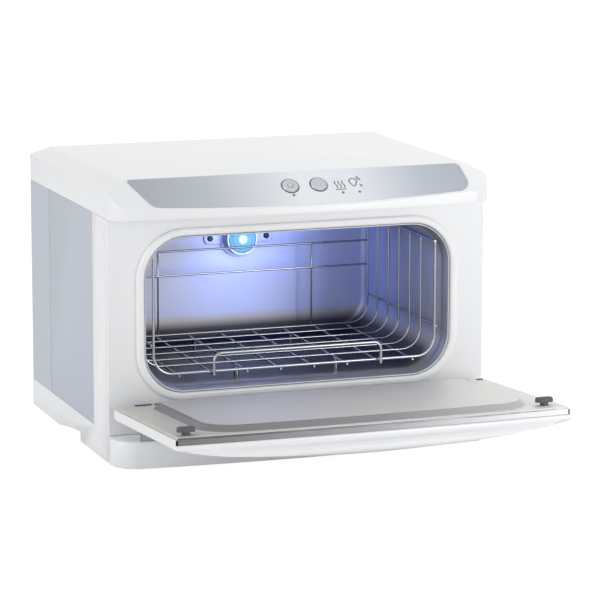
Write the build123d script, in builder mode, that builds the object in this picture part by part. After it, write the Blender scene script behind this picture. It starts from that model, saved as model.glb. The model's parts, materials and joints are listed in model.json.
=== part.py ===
from build123d import *
import os
from math import atan2, cos, radians, sin

# Countertop towel warmer with an ultraviolet lamp and a fold-down door, shown open.
# Millimetres. X is the width, the front looks along -Y and Z is up. The origin is on the
# ground, in the middle of the space that the warmer takes with its door open.

os.makedirs("parts", exist_ok=True)

# Case
width = 400.0
depth = 287.5
face_y = -33.94
back_y = face_y + depth
half = width / 2
foot_height = 6.0
foot_radius = 11.0
skirt_bottom = 4.4
ledge_top = 31.6
panel_bottom = 33.0
panel_top = 247.9
cover_bottom = 248.3
cover_side_top = 274.5
cover_top = 284.7
cover_side_run = 18.6
cover_back_run = 22.5
cover_bow_side = 20.0
cover_bow_middle = 28.5
cover_corner = 19.0
cover_wall = 2.5
slope_top_back = 8.0
slope_drop = 0.825
plinth_bow_side = 32.0
plinth_bow_middle = 43.5
plinth_corner = 26.0
plinth_wall = 3.0
plate_thick = 3.0
pillar_depth = 50.0
skirt_thick = 14.0
side_seam = 211.0
skin = 1.4
panel_half = half - 0.6
gap = 0.4

# Hand grips scooped out of the side skirts
grip_front = 100.0
grip_back = 177.0
grip_top = 15.6
grip_depth = 11.0

# Chamber mouth and the tank behind it
mouth_half = 162.5
mouth_low = 70.4
mouth_high = 227.8
mouth_radius = 42.5
seal_width = 7.6
seal_proud = 4.8
neck_front = 1.5
neck_depth = 12.0
tank_step = 4.0
tank_wall = 1.0
tank_depth = 222.0
wool = 13.0

# Door, tilted up while it is open
door_half = 196.5
door_length = 199.3
door_bow = 6.0
door_tilt = 3.9
door_back = 17.1
door_back_z = 64.3
sheet = 1.0
fold_front = 7.5
fold_side = 2.4
press_height = 6.0
press_half = 168.0
press_low = 14.0
press_gap = 8.0
press_bow = 4.0
press_corner = 38.0
press_rear_corner = 16.0
rim = 2.0
shell_top = 2.6
shell_side_depth = 12.0
shell_middle_depth = 35.0
shell_wall = 2.5
shell_start = -1.2
shell_back_depth = 8.0
shell_front_depth = 14.0
belly_back = 36.0
belly_front = 150.0
heel = (9.0, 24.0)
chin = (186.0, 28.0)
groove_radius = 9.5
groove_reach = 4.5
groove_depth = 21.0
foam_play = 0.3
hinge_along = 8.9
hinge_below = 16.0
hinge_x = 168.0
hinge_slot = 27.0
bracket_wide = 12.0
knuckle_radius = 7.0
pin_radius = 2.5
pin_play = 0.06
catch_spots = {"left": (-185.0, 187.0), "right": (179.5, 181.0)}
catch_neck = 3.2
catch_height = 8.0
catch_long = 18.0
catch_wide = 10.0

# Basket wires
basket_half = 150.0
basket_front = 8.0
basket_second = 46.0
wire_pitch = 30.0
wire_count = 7
frame_wire = 1.5
thin_wire = 1.1
post_wire = 1.35
basket_floor_z = 88.0
basket_top_z = 205.5
basket_rail_z = 118.0
basket_bend = 20.0
guard_x = 89.0
guard_top = 107.0
guard_front = 2.0
back_guard_tops = (177.0, 151.0)
back_guard_half = 86.0

# Ultraviolet lamp on the back wall
lamp_x = 11.0
lamp_z = 184.3
lamp_flange_radius = 21.4
lamp_ear = 31.6
lamp_holder_radius = 16.8
lamp_lens_radius = 15.3
lamp_reach = 17.0

# Controls, placed on the sloped front by the way across and the way down from its top edge
button_radius = 8.4
button_down = 20.0
power_x = -12.6
uv_x = 17.4
button_proud = 1.3
button_travel = 1.0
button_play = 0.25
overlay_thick = 0.8
light_radius = 1.3
light_spots = [(-11.9, -32.0), (40.1, -32.0), (57.7, -32.0)]
board_depth = 9.5

# Back of the case
gland_x = 120.0
gland_z = 52.0
gland_hole = 8.0
cord_bore = 3.6
screw_x = 190.0
screw_rows = (48.0, 140.0, 236.0)
vent_width = 4.0
top_vent_z = 200.0
top_vent_pitch = 20.0
top_vent_long = 36.0
low_vent_x = -90.0
low_vent_z = 62.0
low_vent_pitch = 14.0
low_vent_long = 30.0

# Heating and electrical parts round the tank
pad_middle = 115.0
pad_wide = 240.0
pad_long = 150.0
sensor_x = 70.0
sensor_z = 120.0
ballast_x = -60.0
ballast_back = 26.0
ballast_size = (76.0, 36.0, 28.0)
terminal_x = 66.0
terminal_back = 22.0
terminal_size = (44.0, 18.0, 16.0)
strike_x = 182.0
strike_z = 229.0
strike_wide = 14.0
strike_tall = 18.0


def at_y(y):
    """Upright plane across the case at this y. Its normal looks out of the front."""
    return Plane.XZ.offset(-y)


def save(piece, name):
    """Label a finished piece and write it under its node's name."""
    piece.part.label = name
    export_step(piece.part, f"parts/{name}.step")


def bowed_plan(half_width, back, front_side, front_middle, front_radius, back_radius):
    """Box outline whose front edge bows out, drawn in the open sketch."""
    with BuildLine() as edge:
        ThreePointArc((-half_width, front_side), (0, front_middle), (half_width, front_side))
        Polyline((half_width, front_side), (half_width, back), (-half_width, back), (-half_width, front_side))
    corners = make_face(edge.edges()).vertices()
    front_corners = [v for v in corners if abs(v.Y - front_side) < 0.01]
    back_corners = [v for v in corners if abs(v.Y - back) < 0.01]
    fillet(front_corners, front_radius)
    fillet(back_corners, back_radius)


def mouth(inset):
    """Rounded outline of the chamber's mouth, drawn smaller by the inset."""
    tall = mouth_high - mouth_low
    with Locations((0, (mouth_high + mouth_low) / 2)):
        RectangleRounded(2 * (mouth_half - inset), tall - 2 * inset, mouth_radius - inset)


# Sloped control front: the plane starts at the middle of its top edge, with y up the slope.
slope_angle = atan2(slope_drop, 1.0)
slope_plane = Plane(
    origin=(0, face_y + slope_top_back, cover_top),
    x_dir=(1, 0, 0),
    z_dir=(0, -sin(slope_angle), cos(slope_angle)),
)

# Door planes: door_plane lies on the steel inner sheet with y running to the front edge,
# door_side is square to it along the door, and door_across is square to it across the door.
tilt = radians(door_tilt)
door_origin = Vector(0, face_y - door_back, door_back_z)
door_along = Vector(0, -cos(tilt), sin(tilt))
door_up = Vector(0, sin(tilt), cos(tilt))
door_plane = Plane(origin=door_origin, x_dir=(-1, 0, 0), z_dir=door_up)
door_side = Plane(origin=door_origin, x_dir=door_along, z_dir=(-1, 0, 0))
door_across = Plane(origin=door_origin, x_dir=(1, 0, 0), z_dir=door_along)
hinge_point = door_origin + door_along * hinge_along - door_up * hinge_below

# Feet, floor tray and plinth

with BuildPart() as rubber_feet:
    with Locations((0, face_y + 142)):
        with GridLocations(330, 236, 2, 2):
            Cylinder(foot_radius, foot_height, align=(Align.CENTER, Align.CENTER, Align.MIN))
    chamfer(rubber_feet.edges().group_by(Axis.Z)[0], 1.2)
save(rubber_feet, "rubber_feet")

tray_half = half - skirt_thick - gap
tray_front = face_y + plate_thick + 2 * gap
tray_back = back_y - skin - gap
tray_middle = (tray_front + tray_back) / 2
tray_long = tray_back - tray_front
tray_tall = 16.0
tray_rear_tall = panel_bottom - gap - foot_height
with BuildPart() as base_tray:
    with BuildSketch(Plane.XY.offset(foot_height)):
        with Locations((0, tray_middle)):
            Rectangle(2 * tray_half, tray_long)
    extrude(amount=tray_tall)
    with BuildSketch(Plane.XY.offset(foot_height + skin)):
        with Locations((0, tray_middle)):
            Rectangle(2 * (tray_half - skin), tray_long - 2 * skin)
    extrude(amount=tray_tall, mode=Mode.SUBTRACT)
    with BuildSketch(Plane.XY.offset(foot_height)):
        with Locations((0, tray_back - skin / 2)):
            Rectangle(2 * tray_half, skin)
    extrude(amount=tray_rear_tall)
    with BuildSketch(Plane.XY.offset(foot_height)):
        with Locations((0, back_y - 34)):
            with GridLocations(16, 0, 12, 1):
                SlotOverall(28, 4, rotation=90)
    extrude(amount=skin, mode=Mode.SUBTRACT)
save(base_tray, "base_tray")

bracket_deep = 7.0
plinth_back = face_y + plate_thick
with BuildPart() as front_plinth:
    with BuildSketch(Plane.XY.offset(skirt_bottom)):
        bowed_plan(
            half,
            plinth_back,
            face_y - plinth_bow_side,
            face_y - plinth_bow_middle,
            plinth_corner,
            gap,
        )
    extrude(amount=ledge_top - skirt_bottom)
    with BuildSketch(Plane.XY.offset(skirt_bottom + plinth_wall)):
        bowed_plan(
            half - plinth_wall,
            plinth_back,
            face_y - plinth_bow_side + plinth_wall,
            face_y - plinth_bow_middle + plinth_wall,
            plinth_corner - plinth_wall,
            gap,
        )
    extrude(amount=ledge_top - skirt_bottom - 2 * plinth_wall, mode=Mode.SUBTRACT)
    with BuildSketch(Plane.XY.offset(ledge_top - plinth_wall)):
        with Locations((-hinge_x, hinge_point.Y), (hinge_x, hinge_point.Y)):
            Rectangle(bracket_wide + 1, bracket_deep + 1)
    extrude(amount=plinth_wall, mode=Mode.SUBTRACT)
save(front_plinth, "front_plinth")


def make_side_frame(name, side):
    """Pillar behind the front corner and, in one piece with it, a skirt with a hand grip."""
    outer = side * half
    low_y = face_y + plate_thick + gap
    with BuildPart() as frame:
        with BuildSketch(Plane.YZ.offset(outer)):
            with BuildLine():
                Polyline(
                    (low_y, skirt_bottom),
                    (back_y, skirt_bottom),
                    (back_y, panel_bottom - gap),
                    (face_y + pillar_depth, panel_bottom - gap),
                    (face_y + pillar_depth, panel_top),
                    (low_y, panel_top),
                    close=True,
                )
            make_face()
        extrude(amount=-side * plate_thick)
        with BuildSketch(Plane.YZ.offset(outer)):
            with Locations(((low_y + back_y) / 2, (skirt_bottom + panel_bottom - gap) / 2)):
                Rectangle(back_y - low_y, panel_bottom - gap - skirt_bottom)
        extrude(amount=-side * skirt_thick)
        with BuildSketch(Plane.YZ.offset(outer)):
            with Locations((low_y + plate_thick / 2, (skirt_bottom + panel_top) / 2)):
                Rectangle(plate_thick, panel_top - skirt_bottom)
        extrude(amount=-side * 8)
        chord = (grip_back - grip_front) / 2
        scoop = (chord**2 + grip_depth**2) / (2 * grip_depth)
        with BuildSketch(Plane.XY.offset(skirt_bottom)):
            with Locations((outer + side * (scoop - grip_depth), face_y + (grip_front + grip_back) / 2)):
                Circle(scoop)
        extrude(amount=grip_top - skirt_bottom, mode=Mode.SUBTRACT)
        rear_edges = frame.edges().filter_by(Axis.Z).group_by(Axis.Y)[-1].sort_by(Axis.X)
        fillet(rear_edges[-1 if side > 0 else 0], 4)
    save(frame, name)


make_side_frame("side_frame_left", -1)
make_side_frame("side_frame_right", 1)


def make_side_panel(name, side):
    low_y = face_y + pillar_depth + gap
    high_y = face_y + side_seam
    with BuildPart() as panel:
        with BuildSketch(Plane.YZ.offset(side * panel_half)):
            with Locations(((low_y + high_y) / 2, (panel_bottom + panel_top) / 2)):
                Rectangle(high_y - low_y, panel_top - panel_bottom)
        extrude(amount=-side * skin)
    save(panel, name)


make_side_panel("side_panel_left", -1)
make_side_panel("side_panel_right", 1)

# Back sheet, folded round both rear corners

wrap_front = face_y + side_seam + gap
with BuildPart() as rear_shell:
    with BuildSketch(Plane.XY.offset(panel_bottom)):
        with Locations((0, (wrap_front + back_y) / 2)):
            Rectangle(2 * panel_half, back_y - wrap_front)
    extrude(amount=panel_top - panel_bottom)
    fillet(rear_shell.edges().filter_by(Axis.Z).group_by(Axis.Y)[-1], 4)
    with BuildSketch(Plane.XY.offset(panel_bottom)):
        with Locations((0, (wrap_front + back_y) / 2 - skin)):
            Rectangle(2 * (panel_half - skin), back_y - wrap_front)
    extrude(amount=panel_top - panel_bottom, mode=Mode.SUBTRACT)
    with BuildSketch(at_y(back_y)):
        with Locations((0, top_vent_z)):
            with GridLocations(top_vent_pitch, 0, 12, 1):
                SlotOverall(top_vent_long, vent_width, rotation=90)
        with Locations((low_vent_x, low_vent_z)):
            with GridLocations(low_vent_pitch, 0, 8, 1):
                SlotOverall(low_vent_long, vent_width, rotation=90)
        with Locations((gland_x, gland_z)):
            Circle(gland_hole)
        for row in screw_rows:
            with Locations((-screw_x, row), (screw_x, row)):
                Circle(1.8)
    extrude(amount=skin, mode=Mode.SUBTRACT)
save(rear_shell, "rear_shell")

post_wide = 10.0
with BuildPart() as rear_posts:
    with BuildSketch(Plane.XY.offset(panel_bottom)):
        with Locations((-screw_x, back_y - 8), (screw_x, back_y - 8)):
            Rectangle(post_wide, 12)
    extrude(amount=panel_top - panel_bottom)
    with BuildSketch(at_y(back_y - 2)):
        for row in screw_rows:
            with Locations((-screw_x, row), (screw_x, row)):
                Circle(1.7)
    extrude(amount=9, mode=Mode.SUBTRACT)
save(rear_posts, "rear_posts")

with BuildPart() as rear_screws:
    with BuildSketch(at_y(back_y)):
        for row in screw_rows:
            with Locations((-screw_x, row), (screw_x, row)):
                Circle(3.4)
    extrude(amount=-2)
    fillet(rear_screws.edges().group_by(Axis.Y)[-1], 1.2)
    with BuildSketch(at_y(back_y)):
        for row in screw_rows:
            with Locations((-screw_x, row), (screw_x, row)):
                Circle(1.65)
    extrude(amount=9)
save(rear_screws, "rear_screws")

gland_flange = 5.0
with BuildPart() as cord_gland:
    with BuildSketch(at_y(back_y)):
        with Locations((gland_x, gland_z)):
            Circle(gland_hole + 3)
    extrude(amount=-gland_flange)
    fillet(cord_gland.edges().group_by(Axis.Y)[-1], 1.5)
    with BuildSketch(at_y(back_y)):
        with Locations((gland_x, gland_z)):
            Circle(gland_hole - 0.1)
    extrude(amount=11)
    with BuildSketch(at_y(back_y + gland_flange)):
        with Locations((gland_x, gland_z)):
            Circle(cord_bore)
    extrude(amount=11 + gland_flange, mode=Mode.SUBTRACT)
save(cord_gland, "cord_gland")

# Front plate, seal and neck

plate_tab = 10.0
with BuildPart() as front_fascia:
    with BuildSketch(at_y(face_y)):
        with Locations((0, (ledge_top + gap + panel_top) / 2)):
            Rectangle(2 * (half - gap), panel_top - ledge_top - gap)
    extrude(amount=-plate_thick)
    fillet(front_fascia.edges().filter_by(Axis.Z).group_by(Axis.Y)[0], 1.2)
    with BuildSketch(at_y(face_y)):
        with Locations((0, panel_top + plate_tab / 2 - 1)):
            Rectangle(2 * half - 20, plate_tab + 2)
    extrude(amount=-plate_thick)
    with BuildSketch(at_y(face_y)):
        mouth(0)
    extrude(amount=-plate_thick, mode=Mode.SUBTRACT)
save(front_fascia, "front_fascia")

with BuildPart() as door_gasket:
    with BuildSketch(at_y(face_y)):
        mouth(-seal_width)
    extrude(amount=seal_proud)
    with BuildSketch(at_y(face_y)):
        mouth(0)
    extrude(amount=seal_proud, mode=Mode.SUBTRACT)
    fillet(door_gasket.edges().group_by(Axis.Y)[0], 2.6)
save(door_gasket, "door_gasket")

with BuildPart() as chamber_neck:
    with BuildSketch(at_y(face_y - neck_front)):
        mouth(0.3)
    extrude(amount=-(neck_front + neck_depth))
    with BuildSketch(at_y(face_y - neck_front)):
        mouth(tank_step)
    extrude(amount=-(neck_front + neck_depth), mode=Mode.SUBTRACT)
    fillet(chamber_neck.faces().sort_by(Axis.Y)[0].inner_wires()[0].edges(), tank_step - 1.2)
save(chamber_neck, "chamber_neck")

with BuildPart() as chamber_tank:
    with BuildSketch(at_y(face_y + neck_depth)):
        mouth(tank_step - tank_wall)
    extrude(amount=-(tank_depth - neck_depth + tank_wall))
    fillet(chamber_tank.faces().sort_by(Axis.Y)[-1].edges(), 9)
    offset(amount=-tank_wall, openings=chamber_tank.faces().sort_by(Axis.Y)[0])
save(chamber_tank, "chamber_tank")

tank_back = face_y + tank_depth
tank_floor = mouth_low + tank_step
pad_thick = 1.6
pad_top = tank_floor - tank_wall - 0.2
wool_half = mouth_half - tank_step + tank_wall + wool
wool_low = tank_floor - tank_wall - wool
wool_high = mouth_high - tank_step + tank_wall + wool
wool_back = tank_back + tank_wall + wool
with BuildPart() as tank_insulation:
    with BuildSketch(at_y(face_y + plate_thick + gap)):
        with Locations((0, (wool_low + wool_high) / 2)):
            Rectangle(2 * wool_half, wool_high - wool_low)
    extrude(amount=-(wool_back - face_y - plate_thick - gap))
    with BuildSketch(at_y(face_y)):
        mouth(-0.3)
    extrude(amount=-(neck_depth + 0.5), mode=Mode.SUBTRACT)
    with BuildSketch(at_y(face_y)):
        mouth(tank_step - tank_wall - 0.3)
    extrude(amount=-(tank_depth + tank_wall + 0.3), mode=Mode.SUBTRACT)
    with Locations((0, face_y + pad_middle, pad_top)):
        Box(pad_wide + 10, pad_long + 10, 2 * pad_thick + 1, mode=Mode.SUBTRACT)
    with BuildSketch(at_y(tank_back)):
        with Locations((-sensor_x, sensor_z), (sensor_x, sensor_z)):
            Circle(11)
    extrude(amount=-40, mode=Mode.SUBTRACT)
save(tank_insulation, "tank_insulation")

with BuildPart() as heater_pad:
    with Locations((0, face_y + pad_middle, pad_top)):
        Box(pad_wide, pad_long, pad_thick, align=(Align.CENTER, Align.CENTER, Align.MAX))
save(heater_pad, "heater_pad")

with BuildPart() as thermostat:
    with BuildSketch(at_y(tank_back + tank_wall)):
        with Locations((-sensor_x, sensor_z)):
            Circle(9)
    extrude(amount=-7)
    with BuildSketch(at_y(tank_back + tank_wall + 7)):
        with Locations((-sensor_x, sensor_z)):
            with GridLocations(9, 0, 2, 1):
                Rectangle(1, 6)
    extrude(amount=-9)
save(thermostat, "thermostat")

with BuildPart() as thermal_fuse:
    with BuildSketch(at_y(tank_back + tank_wall)):
        with Locations((sensor_x, sensor_z)):
            SlotOverall(18, 6)
    extrude(amount=-5)
save(thermal_fuse, "thermal_fuse")

# Electrical parts on the floor tray behind the tank

floor_z = foot_height + skin
with BuildPart() as lamp_ballast:
    with Locations((ballast_x, back_y - ballast_back, floor_z)):
        Box(*ballast_size, align=(Align.CENTER, Align.CENTER, Align.MIN))
    fillet(lamp_ballast.edges().filter_by(Axis.Z), 2)
save(lamp_ballast, "lamp_ballast")

with BuildPart() as terminal_block:
    with Locations((terminal_x, back_y - terminal_back, floor_z)):
        Box(*terminal_size, align=(Align.CENTER, Align.CENTER, Align.MIN))
    with BuildSketch(Plane.XY.offset(floor_z + terminal_size[2])):
        with Locations((terminal_x, back_y - terminal_back)):
            with GridLocations(10, 9, 4, 2):
                Circle(2.4)
    extrude(amount=-5, mode=Mode.SUBTRACT)
save(terminal_block, "terminal_block")

# Top cover: one moulding with bevelled sides and back and a sloped control front


def cover_form(inset, low):
    """Cover's outside, or with an inset the hollow inside it."""
    slope_end = 32.0
    front_z = cover_top - slope_drop * (slope_top_back + slope_end) - inset / cos(slope_angle)
    side_angle = atan2(cover_top - cover_side_top, cover_side_run)
    side_rise = (cover_top - cover_side_top) / cover_side_run
    back_rise = (cover_top - cover_side_top) / cover_back_run
    reach = 10.0
    side_z = cover_side_top - side_rise * reach - inset / cos(side_angle)
    back_z = cover_side_top - back_rise * reach - inset
    shift = inset / slope_drop / cos(slope_angle) - inset / slope_drop
    with BuildPart() as form:
        with BuildSketch(Plane.XY.offset(low)):
            bowed_plan(
                half - inset,
                back_y - inset,
                face_y - cover_bow_side + inset,
                face_y - cover_bow_middle + inset,
                cover_corner - inset,
                6 - inset,
            )
        extrude(amount=cover_top - low)
        with BuildSketch(Plane.YZ):
            with BuildLine():
                Polyline(
                    (face_y - slope_end, low - 9),
                    (face_y - slope_end, front_z),
                    (face_y + slope_top_back + shift, cover_top - inset),
                    (back_y - cover_back_run, cover_top - inset),
                    (back_y + reach, back_z),
                    (back_y + reach, low - 9),
                    close=True,
                )
            make_face()
        extrude(amount=half + reach, both=True, mode=Mode.INTERSECT)
        with BuildSketch(at_y(face_y + depth / 2)):
            with BuildLine():
                Polyline(
                    (-half - reach, low - 9),
                    (-half - reach, side_z),
                    (-half + cover_side_run, cover_top - inset),
                    (half - cover_side_run, cover_top - inset),
                    (half + reach, side_z),
                    (half + reach, low - 9),
                    close=True,
                )
            make_face()
        extrude(amount=depth, both=True, mode=Mode.INTERSECT)
    return form.part


cover_outside = cover_form(0, cover_bottom)
cover_hollow = cover_form(cover_wall, cover_bottom + 2)
with BuildPart() as top_cover:
    add(cover_outside)
    bevels = [e for e in top_cover.edges() if e.center().Z > cover_bottom + 2]
    fillet(bevels, 1.0)
    add(cover_hollow, mode=Mode.SUBTRACT)
    with BuildSketch(Plane.XY.offset(cover_bottom)):
        with Locations((0, (face_y - gap + back_y - cover_wall) / 2)):
            Rectangle(2 * (half - cover_wall), depth - cover_wall + gap)
    extrude(amount=3, mode=Mode.SUBTRACT)
    with BuildSketch(slope_plane.offset(1)):
        with Locations((power_x, -button_down), (uv_x, -button_down)):
            Circle(button_radius + button_play)
        with Locations(*light_spots):
            Circle(light_radius + 0.2)
    extrude(amount=-(1 + 2 * cover_wall), mode=Mode.SUBTRACT)
save(top_cover, "top_cover")

# The overlay's corners, each with its own rounding
overlay_corners = [
    ((-158.0, -38.0), 12.0),
    ((-178.0, -1.0), 2.5),
    ((173.5, -0.5), 6.0),
    ((178.5, -36.0), 13.0),
]
overlay_bottom = (4.0, -44.3)
with BuildPart() as control_overlay:
    with BuildSketch(slope_plane) as overlay:
        with BuildLine():
            spots = [spot for spot, rounding in overlay_corners]
            Polyline(spots)
            ThreePointArc(spots[-1], overlay_bottom, spots[0])
        make_face()
        for spot, rounding in overlay_corners:
            fillet(overlay.vertices().sort_by_distance((*spot, 0))[0], rounding)
    extrude(amount=overlay_thick)
    with BuildSketch(slope_plane):
        with Locations((power_x, -button_down), (uv_x, -button_down)):
            Circle(button_radius + button_play)
        with Locations(*light_spots):
            Circle(light_radius + 0.2)
    extrude(amount=overlay_thick, mode=Mode.SUBTRACT)
save(control_overlay, "control_overlay")


def make_button(name, across):
    """Push button with a domed top, a hidden flange and a short stem."""
    top = overlay_thick + button_proud
    with BuildPart() as button:
        with BuildSketch(slope_plane.offset(-4)):
            with Locations((across, -button_down)):
                Circle(button_radius)
        extrude(amount=4 + top)
        dome_edge = button.edges().sort_by(Axis(slope_plane.origin, slope_plane.z_dir))[-1]
        fillet(dome_edge, 1.2)
        with BuildSketch(slope_plane.offset(-4)):
            with Locations((across, -button_down)):
                Circle(button_radius + 1.8)
        extrude(amount=4 - cover_wall - 0.2)
        with BuildSketch(slope_plane.offset(-4)):
            with Locations((across, -button_down)):
                Circle(2.5)
        extrude(amount=-1.3)
    save(button, name)


make_button("power_button", power_x)
make_button("uv_button", uv_x)

with BuildPart() as indicator_lights:
    with BuildSketch(slope_plane.offset(-board_depth)):
        with Locations(*light_spots):
            Circle(light_radius)
    extrude(amount=board_depth + overlay_thick + 0.3)
save(indicator_lights, "indicator_lights")

with BuildPart() as control_board:
    with BuildSketch(slope_plane.offset(-board_depth)):
        with Locations((22, -22)):
            Rectangle(150, 26)
    extrude(amount=-1.6)
save(control_board, "control_board")

switch_top = -6.6
with BuildPart() as button_switches:
    with BuildSketch(slope_plane.offset(-board_depth)):
        with Locations((power_x, -button_down), (uv_x, -button_down)):
            Rectangle(6, 6)
    extrude(amount=board_depth + switch_top)
save(button_switches, "button_switches")

# Ultraviolet lamp on the back wall

with BuildPart() as lamp_flange:
    with BuildSketch(at_y(tank_back)):
        with Locations((lamp_x, lamp_z)):
            Circle(lamp_flange_radius)
            SlotOverall(2 * lamp_ear + 14, 14)
    extrude(amount=2)
    fillet(lamp_flange.edges().group_by(Axis.Y)[0], 0.8)
    with BuildSketch(at_y(tank_back)):
        with Locations((lamp_x - lamp_ear, lamp_z), (lamp_x + lamp_ear, lamp_z)):
            Circle(1.8)
    extrude(amount=2, mode=Mode.SUBTRACT)
save(lamp_flange, "lamp_flange")

with BuildPart() as lamp_screws:
    with BuildSketch(at_y(tank_back - 2)):
        with Locations((lamp_x - lamp_ear, lamp_z), (lamp_x + lamp_ear, lamp_z)):
            Circle(3.2)
    extrude(amount=1.8)
    fillet(lamp_screws.edges().group_by(Axis.Y)[0], 1.2)
    with BuildSketch(at_y(tank_back - 2)):
        with Locations((lamp_x - lamp_ear, lamp_z), (lamp_x + lamp_ear, lamp_z)):
            Circle(1.7)
    extrude(amount=-2)
save(lamp_screws, "lamp_screws")

with BuildPart() as lamp_holder:
    with BuildSketch(at_y(tank_back - 2)):
        with Locations((lamp_x, lamp_z)):
            Circle(lamp_holder_radius)
    extrude(amount=lamp_reach - 3)
    with BuildSketch(at_y(tank_back - 4)):
        with Locations((lamp_x, lamp_z)):
            Circle(lamp_lens_radius)
    extrude(amount=lamp_reach, mode=Mode.SUBTRACT)
save(lamp_holder, "lamp_holder")

with BuildPart() as uv_lamp:
    with BuildSketch(at_y(tank_back - 4)):
        with Locations((lamp_x, lamp_z)):
            Circle(lamp_lens_radius - 0.3)
    extrude(amount=lamp_reach - 2.5)
    fillet(uv_lamp.edges().group_by(Axis.Y)[0], 3)
save(uv_lamp, "uv_lamp")

# Wire basket

wire_rows = [face_y + basket_front]
wire_rows += [face_y + basket_second + wire_pitch * i for i in range(wire_count - 1)]
basket_back = wire_rows[-1]
rail_tail = 0.6


def make_basket_side(name, side):
    """Upright ends of the cross wires, bent in at the foot, with two rails along them."""
    with BuildPart() as grid:
        for row in wire_rows:
            radius = post_wire if row == wire_rows[0] else thin_wire
            with BuildLine() as bend:
                Line(
                    (side * basket_half, row, basket_top_z),
                    (side * basket_half, row, basket_floor_z + basket_bend),
                )
                ThreePointArc(
                    (side * basket_half, row, basket_floor_z + basket_bend),
                    (
                        side * (basket_half - basket_bend * (1 - cos(radians(45)))),
                        row,
                        basket_floor_z + basket_bend * (1 - cos(radians(45))),
                    ),
                    (side * (basket_half - basket_bend), row, basket_floor_z),
                )
            with BuildSketch(Plane.XY.offset(basket_top_z)):
                with Locations((side * basket_half, row)):
                    Circle(radius)
            sweep(path=bend.line)
        for rail_x, rail_z in ((basket_half, basket_top_z), (basket_half + 2, basket_rail_z)):
            with BuildSketch(at_y(basket_back + rail_tail / 2)):
                with Locations((side * rail_x, rail_z)):
                    Circle(frame_wire if rail_z == basket_top_z else thin_wire)
            extrude(amount=basket_back - wire_rows[0] + rail_tail)
    save(grid, name)


make_basket_side("basket_side_left", -1)
make_basket_side("basket_side_right", 1)

rail_drop = 2.0
rail_pitch = 2 * guard_x / 5
rail_xs = [rail_pitch * (i - 3.5) for i in range(8)]
leg_rows = (wire_rows[1] - 8, wire_rows[-2] + 8)
with BuildPart() as basket_floor:
    for row in wire_rows:
        with BuildSketch(Plane.YZ.offset(-basket_half + basket_bend)):
            with Locations((row, basket_floor_z)):
                Circle(frame_wire if row == wire_rows[0] else thin_wire)
        extrude(amount=2 * (basket_half - basket_bend))
    with BuildSketch(at_y(basket_back + 1)):
        for rail_x in rail_xs:
            with Locations((rail_x, basket_floor_z - rail_drop)):
                Circle(thin_wire)
    extrude(amount=basket_back + 1 - face_y - guard_front - frame_wire)
    for row in leg_rows:
        with BuildSketch(Plane.XY.offset(tank_floor + 0.1)):
            with Locations((rail_xs[2], row), (rail_xs[5], row)):
                Circle(2.5)
        extrude(amount=basket_floor_z - rail_drop - tank_floor)
save(basket_floor, "basket_floor")


def guard_path(y, half_width, low, high, bend):
    """Upside-down U across the basket at this y."""
    with BuildLine() as path:
        FilletPolyline(
            (-half_width, y, low),
            (-half_width, y, high),
            (half_width, y, high),
            (half_width, y, low),
            radius=bend,
        )
    return path.line


with BuildPart() as basket_front_guard:
    guard_low = basket_floor_z - rail_drop - thin_wire
    with BuildSketch(Plane.XY.offset(guard_low)):
        with Locations((-guard_x, face_y + guard_front)):
            Circle(frame_wire)
    sweep(path=guard_path(face_y + guard_front, guard_x, guard_low, guard_top, 8))
save(basket_front_guard, "basket_front_guard")

with BuildPart() as basket_back_guard:
    back_wire_y = basket_back + 2 * thin_wire
    with BuildSketch(Plane.YZ.offset(-basket_half)):
        for row_z in back_guard_tops:
            with Locations((back_wire_y, row_z)):
                Circle(thin_wire)
    extrude(amount=2 * basket_half)
    with BuildSketch(Plane.XY.offset(basket_floor_z)):
        with Locations((-back_guard_half, back_wire_y), (back_guard_half, back_wire_y)):
            Circle(thin_wire - 0.1)
    extrude(amount=back_guard_tops[0] - basket_floor_z)
save(basket_back_guard, "basket_back_guard")

# Hinge brackets and the strike plates for the door's magnets


def make_bracket(name, side):
    """Post on the plinth floor with a round eye for the hinge pin."""
    low = skirt_bottom + plinth_wall
    with BuildPart() as bracket:
        with BuildSketch(Plane.YZ.offset(side * hinge_x - bracket_wide / 2)):
            with Locations((hinge_point.Y, (low + hinge_point.Z) / 2)):
                Rectangle(bracket_deep, hinge_point.Z - low)
            with Locations((hinge_point.Y, hinge_point.Z)):
                Circle(knuckle_radius)
                Circle(pin_radius + pin_play, mode=Mode.SUBTRACT)
            with Locations((hinge_point.Y + 8, low + 1.5)):
                Rectangle(23, 3)
        extrude(amount=bracket_wide)
    save(bracket, name)


make_bracket("hinge_bracket_left", -1)
make_bracket("hinge_bracket_right", 1)


def make_strike(name, side):
    with BuildPart() as strike:
        with BuildSketch(at_y(face_y + plate_thick)):
            with Locations((side * strike_x, strike_z)):
                Rectangle(strike_wide, strike_tall)
        extrude(amount=-1.2)
    save(strike, name)


make_strike("strike_plate_left", -1)
make_strike("strike_plate_right", 1)

# Door: steel inner sheet, bowed outer shell, foam, hinges and magnets


def door_outline(grow):
    """Door's outline with its bowed front edge, drawn larger by the growth."""
    bowed_door(door_half + grow, -grow, door_length + grow, door_length + door_bow + grow)


def bowed_door(half_width, back, front_side, front_middle):
    """Sharp-cornered outline with a bowed front edge, drawn in the open sketch."""
    with BuildLine() as edge:
        ThreePointArc((-half_width, front_side), (0, front_middle), (half_width, front_side))
        Polyline((half_width, front_side), (half_width, back), (-half_width, back), (-half_width, front_side))
    make_face(edge.edges())


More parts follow.
